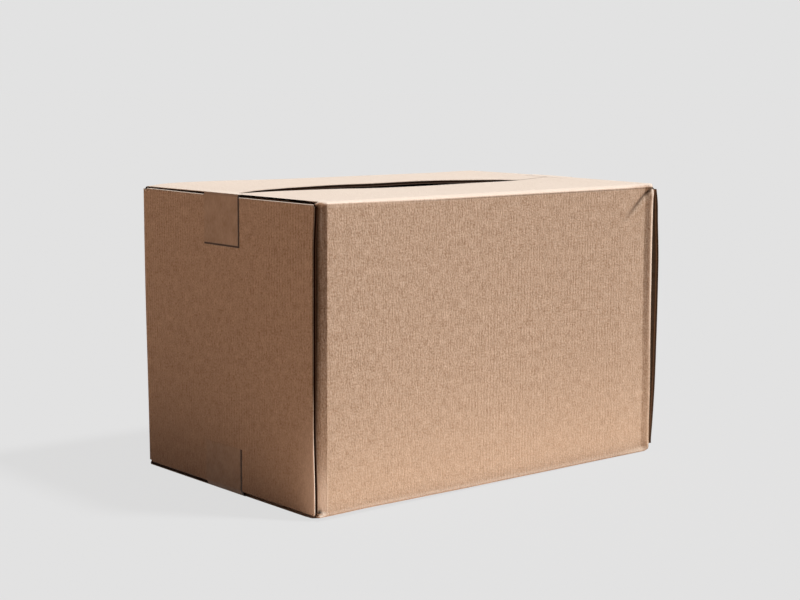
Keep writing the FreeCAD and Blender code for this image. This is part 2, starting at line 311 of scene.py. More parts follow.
near_left = corner_mark(girth_corners[1])
near_right = corner_mark(girth_corners[8])
far_right = corner_mark((RIGHT - 1.2 * MM, BACK - 1.2 * MM))
far_left = corner_mark((LEFT + 1.2 * MM, BACK - 1.2 * MM))
panel_ends = [near_left, near_right, far_right, far_left]
FOOT_ROOM = 1.0 * MM
flap_spans = [
    (0, 0),
    (girth_mark(0, LEFT + SET_BACK, near_left, near_right),
     girth_mark(0, RIGHT - SET_BACK, near_left, near_right)),
    (girth_mark(1, FRONT + SIDE_SET_BACK + FOOT_ROOM, near_right, far_right),
     girth_mark(1, BACK - SIDE_SET_BACK, near_right, far_right)),
    (girth_mark(0, RIGHT - SET_BACK, far_right, far_left),
     girth_mark(0, LEFT + SET_BACK, far_right, far_left)),
    (girth_mark(1, BACK - SIDE_SET_BACK, far_left, ROUND), ROUND),
]
COLUMN_PITCH = 6 * MM
dent_zone = girth_mark(0, RIGHT - 52 * MM, near_left, near_right)
close_ups = [
    np.linspace(near_left - 8 * MM, near_left + 12 * MM, 26),
    np.linspace(dent_zone, near_right, 40),
    np.linspace(near_right - 6 * MM, near_right + 9 * MM, 26),
    np.linspace(ROUND - 7 * MM, ROUND, 12),
]
u = marks(np.concatenate([girth_at, np.ravel(flap_spans), *close_ups]), COLUMN_PITCH)
panel = np.searchsorted(panel_ends, u, side="right")
print(len(u), "columns")

# %% [markdown]
# ## Rows up the blank
# A row has a stage: 0 on the wall, up to 1 or minus 1 round a fold, and up to 2 or minus 2 along a
# flap. Rows lie close together near the foot and under the roof, where the small shapes are.

# %% Mark the rows
FLAP_ROWS = 14
FOLD_ROWS = 13
ROW_PITCH = 6 * MM
foot_rows = np.linspace(WALL_FOOT, WALL_FOOT + 12 * MM, 9)
roof_rows = np.linspace(WALL_TOP - 40 * MM, WALL_TOP, 28)
wall_z = marks(np.concatenate([foot_rows, roof_rows]), ROW_PITCH)
beyond = np.concatenate([np.linspace(0, 1, FOLD_ROWS)[1:], 1 + np.linspace(0, 1, FLAP_ROWS)[1:]])
row_stage = np.concatenate([-beyond[::-1], np.zeros(len(wall_z)), beyond])
row_z = np.concatenate([np.full(len(beyond), WALL_FOOT), wall_z, np.full(len(beyond), WALL_TOP)])
print(len(row_stage), "rows")

# %% [markdown]
# ## The board's own form
# Walls and flaps are one surface of two numbers: the place round the girth and the place up the
# blank. On the walls it is the girth's point, lifted. Past the wall it climbs a short neck, turns a
# quarter round the fold's radius and runs level over the box. The inner skin lies one board inside
# it. Every small shape of the real box, such as the bow, the sagging flaps and the dent, is a smooth
# function that is added where it belongs.

# %% Fold the blank
girth_x = np.interp(u, girth_at, girth[:, 0])
girth_y = np.interp(u, girth_at, girth[:, 1])
STEP = 0.15 * MM
ahead, behind = (np.stack([np.interp(u + shift, girth_at, girth[:, k]) for k in (0, 1)], axis=1)
                 for shift in (STEP, -STEP))
tangent = unit(ahead - behind)
OUTWARD = np.array([(-1, 0), (0, -1), (1, 0), (0, 1), (-1, 0)], float)
PLANE = np.array([-LEFT, -FRONT, RIGHT, BACK, -LEFT])
outward = OUTWARD[panel]
inset = PLANE[panel] - (outward[:, 0] * girth_x + outward[:, 1] * girth_y)
is_outer = (panel == 1) | (panel == 3)

END_RISE = 1.0 * MM
FRONT_BEND_LEFT, FRONT_BEND_RIGHT = 2.4 * MM, 3.6 * MM
BACK_BEND, END_BEND = 3 * MM, 1.1 * MM
front_bend = FRONT_BEND_LEFT + (FRONT_BEND_RIGHT - FRONT_BEND_LEFT) * smooth(girth_x, LEFT, -60 * MM)
top_radius = np.where(panel == 1, front_bend, np.where(panel == 3, BACK_BEND, END_BEND))
reach = np.where(is_outer, BACK - SEAM_GAP / 2, INNER_REACH)

stage = row_stage[None, :]
radius = np.where(stage > 0, top_radius[:, None], FOLD)
level_gap = np.where(stage > 0, np.where(is_outer, ROOF, INNER_ROOF + END_RISE)[:, None] - WALL_TOP,
                     WALL_FOOT - np.where(is_outer, FOOT, INNER_FOOT)[:, None])
neck = level_gap - radius
bend = neck + radius * np.pi / 2
flat = reach[:, None] - radius
passed = np.clip(np.abs(stage), 0, 1) * bend + np.clip(np.abs(stage) - 1, 0, 1) * flat
angle = np.clip((passed - neck) / radius, 0, np.pi / 2)
depth = radius * (1 - np.cos(angle)) + np.clip(passed - bend, 0, None)
rise = np.clip(passed, 0, neck) + radius * np.sin(angle)
side = np.sign(stage)
print("Folds of", round(top_radius.min() / MM, 1), "to", round(top_radius.max() / MM, 1), "mm radius")

# %% [markdown]
# ## Bow, sag and settled edges
# The end panel bows out, and low down it pulls the corner crease with it. The back top flap has sprung
# up along the seam between the two tapes and the front flap sags there, which opens a dark lens. The
# front's foot stands a little off the floor. Sculpting would give such shapes too, but stops and
# curves can be measured: heights along an edge are a few measured stops with a cubic through them.

# %% Shape the panels
blank_z = row_z[None, :] + side * rise
on_wall = 1 - smooth(np.abs(stage), 0.0, 0.9)
height_share = (blank_z - FOOT) / (ROOF - FOOT)


def end_swell(z):
    """How far the end panel stands out at a height, in front of the corner crease."""
    return curve(z, [0, 11, 22, 44, 66, 88, 131, 153, 174, 206, 227, 237, 241],
                 [0, 1.0, 2.1, 3.4, 4.4, 5.4, 6.6, 6.8, 6.8, 4.9, 3.4, 1.2, 0])


def corner_pull(z):
    """How far the near right corner is pulled sideways at a height."""
    return curve(z, [0, 3, 7, 12, 20, 60, 100, 150, 200, 241], [2.4, 3.6, 3.0, 2.6, 2.5, 2.5, 1.4, 0.5, 0, 0])


away_from_back = (1 - smooth(girth_y, BACK - 14 * MM, BACK - 2 * MM)) * (panel == 2)
bow = end_swell(blank_z) * (smooth(u, near_right, near_right + 1.2 * MM) * away_from_back)[:, None] * on_wall
pulled = away_from_back + smooth(u, near_right - 60 * MM, near_right - 8 * MM) * (panel == 1)
in_fold = (panel == 1)[:, None] & (stage < 0)
pull = corner_pull(blank_z) * pulled[:, None] * np.where(in_fold, 1 - smooth(-stage, 0.9, 1.3), on_wall)

ROOF_STOPS = [-190.4, -176, -160, -136, -110, -80, -41, 16, 77, 110, 137, 160, 184.6]
BACK_FOLD = [-1.2, 0.4, 1.0, 1.1, 1.0, 0.5, 0.2, 0.2, 0.2, 0.2, 0.3, 0.6, 0.8]
BACK_TIP = [-0.3, -0.4, 0.9, 1.8, 2.3, 2.7, 2.5, 2.7, 1.4, 0.4, -0.8, 0.2, 1.1]
FRONT_TIP = [-0.3, -0.9, -0.7, -0.6, -0.8, -1.1, -1.9, -2.2, -1.7, -1.6, -1.2, 0.0, 1.0]


def roof_height(x, y):
    """How far the roof lies above its plane: on each outer flap the height at the fold and the height at
    the tip, mixed by the share of the way between them. The two flaps meet in the seam."""
    back_way = np.clip((BACK - y) / BACK, 0, 1)
    front_way = np.clip((y - FRONT) / -FRONT, 0, 1)
    back = curve(x, ROOF_STOPS, BACK_FOLD) * (1 - back_way) + curve(x, ROOF_STOPS, BACK_TIP) * back_way
    front = curve(x, ROOF_STOPS, FRONT_TIP) * front_way
    return front + (back - front) * smooth(y, -SEAM_GAP / 2, SEAM_GAP / 2)


FOOT_STOPS = [-190, -170, -140, -110, -80, -40, 0, 60, 120, 184.6]
FOOT_HEIGHTS = [2.5, 2.5, 2.6, 2.2, 1.9, 1.4, 1.2, 0.8, 0.5, 0]
CORNER_LIFT = 1.4 * MM


def foot_height(x, y, z):
    """How far the foot stands off the floor: the front's edge by a few stops, fading inwards, the far left
    corner by a bell, and the rounded near right corner by a short rise, all fading up the walls."""
    front_edge = curve(x, FOOT_STOPS, FOOT_HEIGHTS) * (1 - smooth(y, FRONT, FRONT + 14 * MM))
    far_corner = MM * hump(np.hypot(x - LEFT, y - BACK), 0, 35 * MM)
    near_corner = smooth(x, RIGHT - 5 * MM, RIGHT + 2 * MM) * (1 - smooth(y, FRONT + MM, FRONT + 9 * MM))
    near_corner = CORNER_LIFT * near_corner * (1 - smooth(z, 3 * MM, 16 * MM))
    return (front_edge + far_corner) * (1 - smooth(z, 6 * MM, 45 * MM)) + near_corner


print("Bow", round(bow.max() / MM, 2), "mm, corner pull", round(pull.max() / MM, 2), "mm")

# %% [markdown]
# ## The dent and the leaning corners
# A knock has pressed a slanting dent into the front, down from the top right corner, with a low lip
# beside it. The whole front is a little hollow and wavy, as board is that has been damp. The far left
# corner leans, and the raw edge at the near left creeps forward at its foot and its top.

# %% Press the front and lean the corners
DENT_X, DENT_Z = 0.8, 0.6
DENT_DEEP, DENT_LIP = 1.1 * MM, 0.5 * MM
FRONT_HOLLOW, WAVE_DEEP = 0.3 * MM, 0.35 * MM
WAVE_TURNS, WAVE_START = 21, 1.1


def dent_place(x, z):
    """How far down the dent's slanting line a place lies, and how far above the line: the two shares of
    its way from the top right corner, along the line and across it."""
    slant_x, slant_z = x - (RIGHT - 2 * MM), z - (ROOF - 3 * MM)
    return -(slant_x * DENT_X + slant_z * DENT_Z), slant_z * DENT_X - slant_x * DENT_Z


front_wall = (panel == 1)[:, None] * on_wall
down, over = dent_place(girth_x[:, None], blank_z)
fade = smooth(down, -4 * MM, 4 * MM) * (1 - smooth(down, 16 * MM, 44 * MM))
dent = (DENT_DEEP * hump(over, 0, 2.2 * MM) - DENT_LIP * hump(over, -5 * MM, 3.5 * MM)) * fade
edge_room = smooth(u, near_left, near_left + 60 * MM)
edge_room = edge_room * (1 - smooth(u, near_right - 60 * MM, near_right - 12 * MM))
wave = WAVE_DEEP * np.sin(girth_x[:, None] * WAVE_TURNS + WAVE_START) * np.sin(height_share * np.pi)
pressed = front_wall * (dent + edge_room[:, None] * (FRONT_HOLLOW + wave))
lean = 2.5 - 3.6 * height_share - 1.2 * hump(height_share, 0.65, 0.33)
creep = 1.9 * (1 - smooth(blank_z, 12 * MM, 75 * MM)) + 1.8 * smooth(blank_z, 205 * MM, 236 * MM)
lean = lean * hump(u, far_left, 40 * MM)[:, None] + creep * hump(u, ROUND, 10 * MM)[:, None]
lean = lean * MM * on_wall
print("Dent", round(pressed.max() / MM, 2), "mm, lean", round(lean.min() / MM, 2), "to",
      round(lean.max() / MM, 2), "mm")

# %% [markdown]
# ## The two skins
# The outer skin adds all of this up. The inner skin follows it one board inside. A crease is pressed
# when the blank is made, so the board is thinner there, and that also keeps the inner skin from
# folding over itself in a tight corner.

# %% Compute the outer skin
SLOT_CORNER = 2.2 * MM
inward_run = inset[:, None] * np.where(np.abs(stage) > 0, on_wall, 1) + depth
out3 = np.concatenate([outward, np.zeros((len(u), 1))], axis=1)
base = np.stack([girth_x, girth_y, np.zeros(len(u))], axis=1) + out3 * inset[:, None]
tall = np.array([0.0, 0.0, 1.0])
outer = base[:, None, :] - out3[:, None, :] * inward_run[..., None]
outer = outer + out3[:, None, :] * (bow - pressed)[..., None]
outer[..., 0] += pull
outer[..., 1] -= lean
outer = outer + tall * blank_z[..., None]
x_now, y_now = outer[..., 0], outer[..., 1]
sunk = curve(x_now, ROOF_STOPS, FRONT_TIP) * (1 - np.abs(y_now) / BACK)
under = np.minimum(sunk, 0) - END_RISE * smooth(passed - bend, MM, 12 * MM)
roof_shape = np.where(is_outer[:, None], roof_height(x_now, y_now), under)
outer[..., 2] += roof_shape * np.sin(angle) * (stage > 0)
rests = np.where((panel == 1)[:, None], 1, smooth(x_now - LEFT, MM, 12 * MM)) * (panel > 0)[:, None]
outer[..., 2] += foot_height(x_now, y_now, outer[..., 2]) * rests
corner_peak = smooth(blank_z, WALL_TOP - 8 * MM, WALL_TOP) * hump(u, far_left, 3 * MM)[:, None]
outer[..., 2] += SLOT_CORNER * corner_peak * on_wall
print("Outer skin", outer.shape)

# %% Follow it with the inner skin
THINNED = 0.55
CREASE_WIDTH = 3.2 * MM
FRONT_CUT_END, BACK_CUT_END = 0.62, 0.35
wall_normal = np.stack([tangent[:, 1], -tangent[:, 0], np.zeros(len(u))], axis=1)
mixed = wall_normal[:, None, :] * on_wall[..., None] + out3[:, None, :] * (1 - on_wall)[..., None]
normal = unit(mixed * np.cos(angle)[..., None] + tall * (side * np.sin(angle))[..., None])
turns = np.array([near_left, near_left + 4 * MM, near_left + 8 * MM, near_right - 7 * MM,
                  near_right - 3 * MM, near_right, far_right, far_left])
crushed = np.max(hump(u[:, None], turns[None, :], CREASE_WIDTH), axis=1)[:, None] * on_wall
crushed = np.maximum(crushed, 0.5 * np.sin(2 * angle))
cut_ends = hump(girth_x, LEFT + SET_BACK, 5 * MM) + hump(girth_x, RIGHT - SET_BACK, 5 * MM)
cut_ends = cut_ends * np.where(panel == 1, FRONT_CUT_END, BACK_CUT_END * (panel == 3))
crushed = np.maximum(crushed, cut_ends[:, None] * (stage > 0))
inner = outer - normal * (BOARD * (1 - THINNED * crushed))[..., None]
print("Board from", round(BOARD * (1 - THINNED * crushed.max()) / MM, 2), "to", round(BOARD / MM, 2), "mm")

# %% [markdown]
# ## The tab's slanting ends
# The tab gets narrower towards its free edge, so that it slips between the panels when the box is
# glued. Both skins are squeezed together in height by the same amount.

# %% Taper the tab
TAB_TAPER = 8 * MM
tab_share = np.clip((near_left - u) / TAB_WIDTH, 0, 1) * (panel == 0)
taper = TAB_TAPER * tab_share[:, None] * (2 * height_share - 1)
outer[..., 2] -= taper
inner[..., 2] -= taper
print("Tab narrower by", round(taper.max() / MM, 1), "mm at each end")

# %% [markdown]
# ## Which cells are board
# Slots are cut between neighbouring flaps, and the tab has no flaps. A cell of the wall always stays,
# and a cell beyond it stays where a flap is. Leaving cells out of a grid is quicker and cleaner than
# cutting slots with booleans afterwards.

# %% Keep the cells
middle_u = (u[:-1] + u[1:]) / 2
middle_stage = (row_stage[:-1] + row_stage[1:]) / 2
spans = np.array(flap_spans)
in_span = (middle_u[:, None] > spans[None, :, 0]) & (middle_u[:, None] < spans[None, :, 1])
kept = np.any(in_span, axis=1)[:, None] | (middle_stage == 0)[None, :]
print(int(kept.sum()), "cells of", kept.size)

# %% [markdown]
# ## Where the board is worn, and where light is painted on it
# A paint is a number from 0 to 1 on every point, which the material reads later. That keeps marks at
# their place on the board, whatever the texture does. The pale paint is partly wear and partly painted
# light: the ridge at the right corner is pale from wear and from a painted highlight, more so high up,
# the near left facets have a thin worn line at the top and painted bounce light at the foot, the raw
# edge of the near left corner has painted bounce light low down, the front's top fold has a painted
# highlight, and the front's foot fold has painted light over its shaded underside.

# %% Paint the worn places and the painted light


def stripe(place, width):
    """A soft upright stripe on the girth: a bell across it."""
    return hump(u, place, width)[:, None]


def rising(start, end):
    """Rises from 0 to 1 between two heights in mm."""
    return smooth(blank_z, start * MM, end * MM)


front_start = corner_mark(girth_corners[3])
right_ridge = corner_mark(girth_corners[6])
# The ridge is pale partly from wear and partly from a painted highlight, strongest high up.
ridge_wear_and_highlight = stripe(right_ridge + 2.2 * MM, 1.5 * MM) * rising(60, 170)
facet_line = stripe(corner_mark(girth_corners[2]), 0.6 * MM) * rising(190, 225)
facets = smooth(u, near_left, near_left + 3 * MM)
facets = facets * (1 - smooth(u, front_start - 1.2 * MM, front_start + 1.5 * MM))
# Low on the near left facets and round the near left raw edge the pale paint is painted bounce light from the
# floor.
facet_foot_light = facets[:, None] * (1 - rising(12, 62))
raw_edge_light = stripe(ROUND, 1.5 * MM) * (1 - rising(45, 72))
raw_edge_bounce_light = stripe(ROUND, 14 * MM) * (1 - rising(15, 100))
rubbed_and_lit = 0.85 * ridge_wear_and_highlight + 0.5 * facet_line + 0.7 * facet_foot_light + 0.7 * raw_edge_light + 0.45 * raw_edge_bounce_light
# Painted highlight along the front's top fold, and painted light over the front's foot fold and its shaded
# underside.
front_fold_highlight = hump(angle, 0.4, 0.3) * (panel == 1)[:, None] * (stage > 0)
front_foot_light = (0.3 * smooth(passed, neck - 2.5 * MM, neck) + 0.7 * smooth(angle, 0.0, 0.7)) * (stage < 0)
front_foot_light = front_foot_light * ((panel == 1) * (1 - 0.55 * smooth(girth_x, -60 * MM, RIGHT)))[:, None]
wear_and_highlight = np.clip(rubbed_and_lit * on_wall + 0.9 * front_fold_highlight + 0.75 * front_foot_light, 0, 1)
print("Wear covers", round(100 * float(np.mean(wear_and_highlight > 0.1)), 1), "% of the points")

# %% [markdown]
# ## Painted shade in lines and grooves
# Shade is painted where board meets board. The split crease behind the right ridge is darkest, then the
# joint at the near left corner and its facets higher up, the dip beside the right ridge and the raw
# edge at the near left, high up. Small marks are a painted dark spot for the shaded hole where two
# slots meet at the near left foot, a painted shadow under the crease line over the front and a painted
# shadow along the dent's valley.

# %% Paint the shade
crest = corner_mark(girth_corners[7])
past_crest = u[:, None] - crest - 0.8 * MM * rising(60, 150)
# Painted shade: the strip behind the right ridge's crest, darkest by the crease.
split_shade = 1 - smooth(u, near_right + 5 * MM, near_right + 12 * MM)
split_shade = split_shade * (0.80 + 0.20 * hump(u, near_right, 2.0 * MM))
split_shade = split_shade[:, None] * smooth(past_crest, 0, 0.8 * MM)
split_shade = split_shade * (1 - 0.8 * smooth(blank_z, ROOF - 9 * MM, ROOF - 4 * MM))
# Painted shade in the joint's groove at the near left, weaker near the foot, and on the corner's facets,
# stronger high up.
tab_shade = stripe(near_left - 2 * MM, 3.4 * MM) * (0.25 + 0.75 * rising(15, 90))
corner_shade = smooth(u, near_left - 5 * MM, near_left)
corner_shade = corner_shade * (1 - smooth(u, front_start - 0.9 * MM, front_start + 0.5 * MM))
corner_shade = 0.55 * corner_shade[:, None] * rising(20, 190)
# Painted shade on the dip beside the right ridge, and on the near left raw edge high up.
band_shade = stripe(right_ridge - 3.0 * MM, 2.8 * MM) * (0.12 + 0.26 * rising(60, 170))
raw_edge_shade = 0.8 * stripe(ROUND, 0.7 * MM) * rising(72, 105)
# A painted dark spot stands in for the shaded hole where two slots meet at the near left foot.
hole_shade = stripe(near_left + 2.6 * MM, 2.0 * MM) * hump(blank_z, 4.2 * MM, 1.9 * MM)
# Painted shadow under the crease line over the front, and along the dent's valley.
crease_shadow = hump(passed, np.maximum(neck, 0), 0.5 * MM) * (stage > 0) * (panel == 1)[:, None]
crease_shadow = crease_shadow * smooth(girth_x, -130 * MM, -40 * MM)[:, None]
dent_shadow = hump(over, 0, 1.0 * MM + 0.04 * down) * front_wall
dent_shadow = dent_shadow * smooth(down, -6 * MM, 0) * (1 - smooth(down, 18 * MM, 54 * MM))
# All of these are painted shade, gathered into one paint.
painted_shade = (split_shade + tab_shade + corner_shade + band_shade + raw_edge_shade) * on_wall + 0.95 * hole_shade
painted_shade = np.clip(painted_shade + 0.5 * crease_shadow + 0.7 * dent_shadow, 0, 1)
print("Dirt covers", round(100 * float(np.mean(painted_shade > 0.1)), 1), "% of the points")

# %% [markdown]
# ## The top painted paler
# The roof is painted much paler than the walls: painted light for the strong light that falls on it. A
# fold is painted pale from the angle at which it begins to face upwards: at once on the front, late at
# the back. The texture map is the place on the flat blank, so that fibres and flutes run on over every
# fold.

# %% Paint light on the top and lay the map
FRONT_TURNS, END_TURNS, BACK_TURNS = 0.02, 0.5, 1.0
TOP_LIGHT_RAMP = 0.4
MAP_START = 0.15
top_light_from = np.where(panel == 3, BACK_TURNS, np.where(panel == 1, FRONT_TURNS, END_TURNS))[:, None]
# Painted light: the roof and the upward-facing part of each fold are painted paler.
painted_top_light = smooth(angle, top_light_from, top_light_from + TOP_LIGHT_RAMP) * (stage > 0)
blank_v = row_z[None, :] + side * passed + MAP_START
uv = np.stack([np.broadcast_to(u[:, None], angle.shape), blank_v], axis=-1)
paint = {"wear_and_highlight": wear_and_highlight, "painted_shade": painted_shade, "painted_top_light": painted_top_light}
print("The blank is", round(float(np.ptp(blank_v)) / MM), "mm high")

# %% [markdown]
# ## The carton
# The two skins, the cells and the paints make one closed sheet. Along every raw edge the chain leaves
# the two liners standing and sinks in between them, where the flutes are.

# %% Make the carton
LINER = 0.2
HOLLOW = 1.8 * MM
# The third number of each link is painted shade: cut edges are painted near-black for the shade in their
# hollow flutes.
board_chain = [(LINER, 0, 0.55), (LINER, HOLLOW, 1.0), (1 - LINER, HOLLOW, 1.0), (1 - LINER, 0, 0.8)]
carton = make_piece("carton_board", closed_sheet(outer, inner, kept, board_chain, uv, paint))
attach(carton, "root")
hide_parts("carton")

# %% [markdown]
# ## The tape
# Each strip is a thin closed sheet that follows the board over an edge and bridges the step between
# the outer flap's raw edge and the fold below it. Its shape is a path in the plane of x and z, carried
# across the tape's width. A plane laid on the board by a modifier would follow the step too closely:
# paper is drawn tight over it, and only ripples a little.

# %% Choose the tape's sizes
TOP_DROP = tape_low.z
BOTTOM_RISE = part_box("bottom_tape")[1].z
TOP_NEAR = tape_low.y + 1.5 * MM
TOP_REACH = 14 * MM
EDGE_ACROSS, EDGE_DOWN = 0.9 * MM, 2.4 * MM
TOUCH_ACROSS, TOUCH_DOWN = 0.25 * MM, 0.75 * MM
TAPE_PITCH = 1.5 * MM
RIPPLE = 0.02 * MM
LOOSE = 0.1 * MM
print("Tape", round((tape_high.y - TOP_NEAR) / MM, 1), "mm wide, down to", round(TOP_DROP / MM, 1), "mm")

# %% Lay the tapes


def strip(name, corners, radii, near_side, edges):
    """Tape along a path of x and z, carried across from its near side to its far side. The path's points
    are the board's side and follow the roof and the bowed end. The outer side lies one tape further out
    along the path's left normal, with a small ripple of sines across and along. The edges say how dark
    the painted shadow is along the near side, the far side, the start and the end."""
    path = rounded_path(corners, radii)
    at = distances(path)
    rim_marks = np.array([0, 0.5, 0.9, 1.2, 1.5, 1.8, 2.3]) * MM
    s = marks(np.concatenate([at, rim_marks, at[-1] - rim_marks]), TAPE_PITCH)
    y = marks(np.concatenate([near_side + rim_marks, tape_high.y - rim_marks]), TAPE_PITCH)
    x, z = (np.interp(s, at, path[:, k]) for k in (0, 1))
    ahead, behind = (np.stack([np.interp(s + shift, at, path[:, k]) for k in (0, 1)], axis=1)
                     for shift in (0.1 * MM, -0.1 * MM))
    way = unit(ahead - behind)
    out = np.stack([way[:, 1], np.zeros(len(s)), -way[:, 0]], axis=1)
    on_end = smooth(z, WALL_FOOT - FOLD, WALL_FOOT) * (1 - smooth(z, WALL_TOP, WALL_TOP + FOLD)) * (x > 0)
    x = x + on_end * (end_swell(z) + corner_pull(z) + LOOSE)
    inner_side = np.stack(np.broadcast_arrays(x[:, None], y[None, :], z[:, None]), axis=-1).copy()
    on_top = smooth(z, ROOF - 0.4 * MM, ROOF - 0.1 * MM)[:, None]
    inner_side[..., 2] += roof_height(x[:, None], y[None, :]) * on_top
    wave = np.sin(s[:, None] * 410 + y[None, :] * 90) * np.sin(y[None, :] * 260 + 0.7)
    outer_side = inner_side + out[:, None, :] * (TAPE * 0.9 + RIPPLE * (wave - 1))[..., None]
    all_cells = np.ones((len(s) - 1, len(y) - 1), bool)
    places = np.stack(np.broadcast_arrays(s[:, None] + 0.3, y[None, :] + 0.7), axis=-1)
    near_rim, far_rim, start, end = edges
    # Painted shadow: a thin dark line along the chosen edges of the tape.
    rim = np.maximum(near_rim * (1 - smooth(y - near_side, 1.5 * MM, 2.3 * MM)),
                     far_rim * (1 - smooth(tape_high.y - y, 0, 0.9 * MM)))
    rim = np.maximum(rim[None, :], end * (1 - smooth(s[-1] - s, 1.2 * MM, 1.8 * MM))[:, None])
    rim = np.maximum(rim, start * (1 - smooth(s, 1.2 * MM, 1.8 * MM))[:, None])
    # On the roof the tape takes the board's painted top light instead of the edge shadow.
    paints = {"rim": rim * (1 - on_top), "painted_top_light": on_top * np.ones(len(y))}
    piece = make_piece(name, closed_sheet(outer_side, inner_side, all_cells, [], places, paints))
    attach(piece, "root")
    return piece


left_path = [(LEFT + TOP_REACH, ROOF), (LEFT + EDGE_ACROSS, ROOF), (LEFT, ROOF - EDGE_DOWN),
             (LEFT, TOP_DROP)]
left_tape = strip("tape_top_left", left_path, np.array([0.5, 1.5]) * MM, TOP_NEAR, (1.0, 0.05, 0.0, 1.0))
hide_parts("top_tape_left")

foot_path = [(LEFT, BOTTOM_RISE), (LEFT, WALL_FOOT), (LEFT + TOUCH_ACROSS, INNER_FOOT + TOUCH_DOWN),
             (LEFT + SET_BACK, FOOT), (RIGHT - SET_BACK, FOOT),
             (RIGHT - TOUCH_ACROSS, INNER_FOOT + TOUCH_DOWN), (RIGHT, WALL_FOOT), (RIGHT, BOTTOM_RISE)]
foot_radii = np.array([1.0, 1.5, 0.8, 0.8, 1.5, 1.0]) * MM
foot_tape = strip("tape_bottom", foot_path, foot_radii, tape_low.y, (1.0, 0.0, 0.0, 0.6))
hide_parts("bottom_tape")

right_path = [(RIGHT, TOP_DROP), (RIGHT, ROOF - EDGE_DOWN), (RIGHT - EDGE_ACROSS, ROOF),
              (RIGHT - TOP_REACH, ROOF)]
right_tape = strip("tape_top_right", right_path, np.array([1.5, 0.5]) * MM, TOP_NEAR, (0.9, 0.3, 0.95, 0.0))
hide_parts("top_tape_right")

# %% [markdown]
# ## Shared parts of the materials
# Kraft paper is brown with cloudy blotches, short fibres and faint streaks from the flutes beneath.
# The nodes for this are put together by small helpers, so that board and tape can share them.

# %% Helpers for nodes


def new_material(name):
    """A material with an empty tree, its output and one Principled shader."""
    material = bpy.data.materials.new(name)
    material.use_nodes = True
    tree = material.node_tree
    tree.nodes.clear()
    shader = tree.nodes.new("ShaderNodeBsdfPrincipled")
    output = tree.nodes.new("ShaderNodeOutputMaterial")
    tree.links.new(shader.outputs["BSDF"], output.inputs["Surface"])
    return material, tree, shader


def put(tree, value, socket):
    """Sets a socket to a number or colour, or links it to another node's output."""
    if isinstance(value, bpy.types.NodeSocket):
        tree.links.new(value, socket)
    else:
        socket.default_value = value


def noise(tree, vector, scale, detail, rough=0.55):
    """Cloudy noise from 0 to 1 with its middle near one half."""
    node = tree.nodes.new("ShaderNodeTexNoise")
    put(tree, vector, node.inputs["Vector"])
    node.inputs["Scale"].default_value = scale
    node.inputs["Detail"].default_value = detail
    node.inputs["Roughness"].default_value = rough
    return node.outputs["Fac"]


def stretch(tree, vector, scale, place=(0, 0, 0)):
    """The vector scaled per axis and moved, by a Mapping node."""
    node = tree.nodes.new("ShaderNodeMapping")
    put(tree, vector, node.inputs["Vector"])
    node.inputs["Scale"].default_value = scale
    node.inputs["Location"].default_value = place
    return node.outputs["Vector"]


def calc(tree, operation, a, b=0.0, c=0.0):
    """One step of arithmetic on numbers."""
    node = tree.nodes.new("ShaderNodeMath")
    node.operation = operation
    for value, socket in zip((a, b, c), node.inputs):
        put(tree, value, socket)
    return node.outputs[0]


def spread(tree, value, low_in, high_in, low_out=0.0, high_out=1.0):
    """Moves a number from one range to another and stops at the ends."""
    node = tree.nodes.new("ShaderNodeMapRange")
    for number, socket in zip((value, low_in, high_in, low_out, high_out), node.inputs):
        put(tree, number, socket)
    return node.outputs["Result"]


def blend(tree, share, a, b):
    """Mixes two colours by a share."""
    node = tree.nodes.new("ShaderNodeMix")
    node.data_type = "RGBA"
    put(tree, share, node.inputs[0])
    put(tree, a, node.inputs[6])
    put(tree, b, node.inputs[7])
    return node.outputs[2]


def split_vector(tree, vector):
    """The three numbers of a vector."""
    node = tree.nodes.new("ShaderNodeSeparateXYZ")
    put(tree, vector, node.inputs[0])
    return node.outputs


def painted(tree, name):
    """A paint stored on the points of the mesh."""
    node = tree.nodes.new("ShaderNodeAttribute")
    node.attribute_name = name
    return node.outputs["Fac"]


def over_paint(tree, name, most, colour, cover):
    """A colour covered by another where a paint lies, up to the share given as most."""
    return blend(tree, calc(tree, "MULTIPLY", painted(tree, name), most), colour, cover)


def blank_map(tree):
    """The place on the flat blank, in metres."""
    node = tree.nodes.new("ShaderNodeUVMap")
    node.uv_map = "blank"
    return node.outputs["UV"]


def relief(tree, height, distance, strength, under=None):
    """Bump from a height, on top of another bump if one is given."""
    node = tree.nodes.new("ShaderNodeBump")
    node.inputs["Distance"].default_value = distance
    node.inputs["Strength"].default_value = strength
    put(tree, height, node.inputs["Height"])
    if under is not None:
        put(tree, under, node.inputs["Normal"])
    return node.outputs["Normal"]


# %% [markdown]
# ## Kraft board
# The outer liner is brown kraft paper. Its colour clouds over a few millimetres, with short fibres
# that run up the blank, and the flutes beneath show as faint streaks. Ridges and folds are paler from
# wear and from painted highlight and bounce light, grooves carry painted shade, the top is painted
# paler as painted light, and the cut edges are painted near-black as the shade in their hollows. An
# image of paper would do this too, but noise has no edge and no repeat, and it can be tuned tone by
# tone. The grain is calmer low on the walls, and where shade is painted the sheen is taken away.

# %% Mix the board
RIB_PITCH = 3.4 * MM
RIB_TURNS = 2 * np.pi / RIB_PITCH
KRAFT_DARK = (0.337, 0.242, 0.166, 1)
KRAFT_PALE = (0.622, 0.517, 0.42, 1)
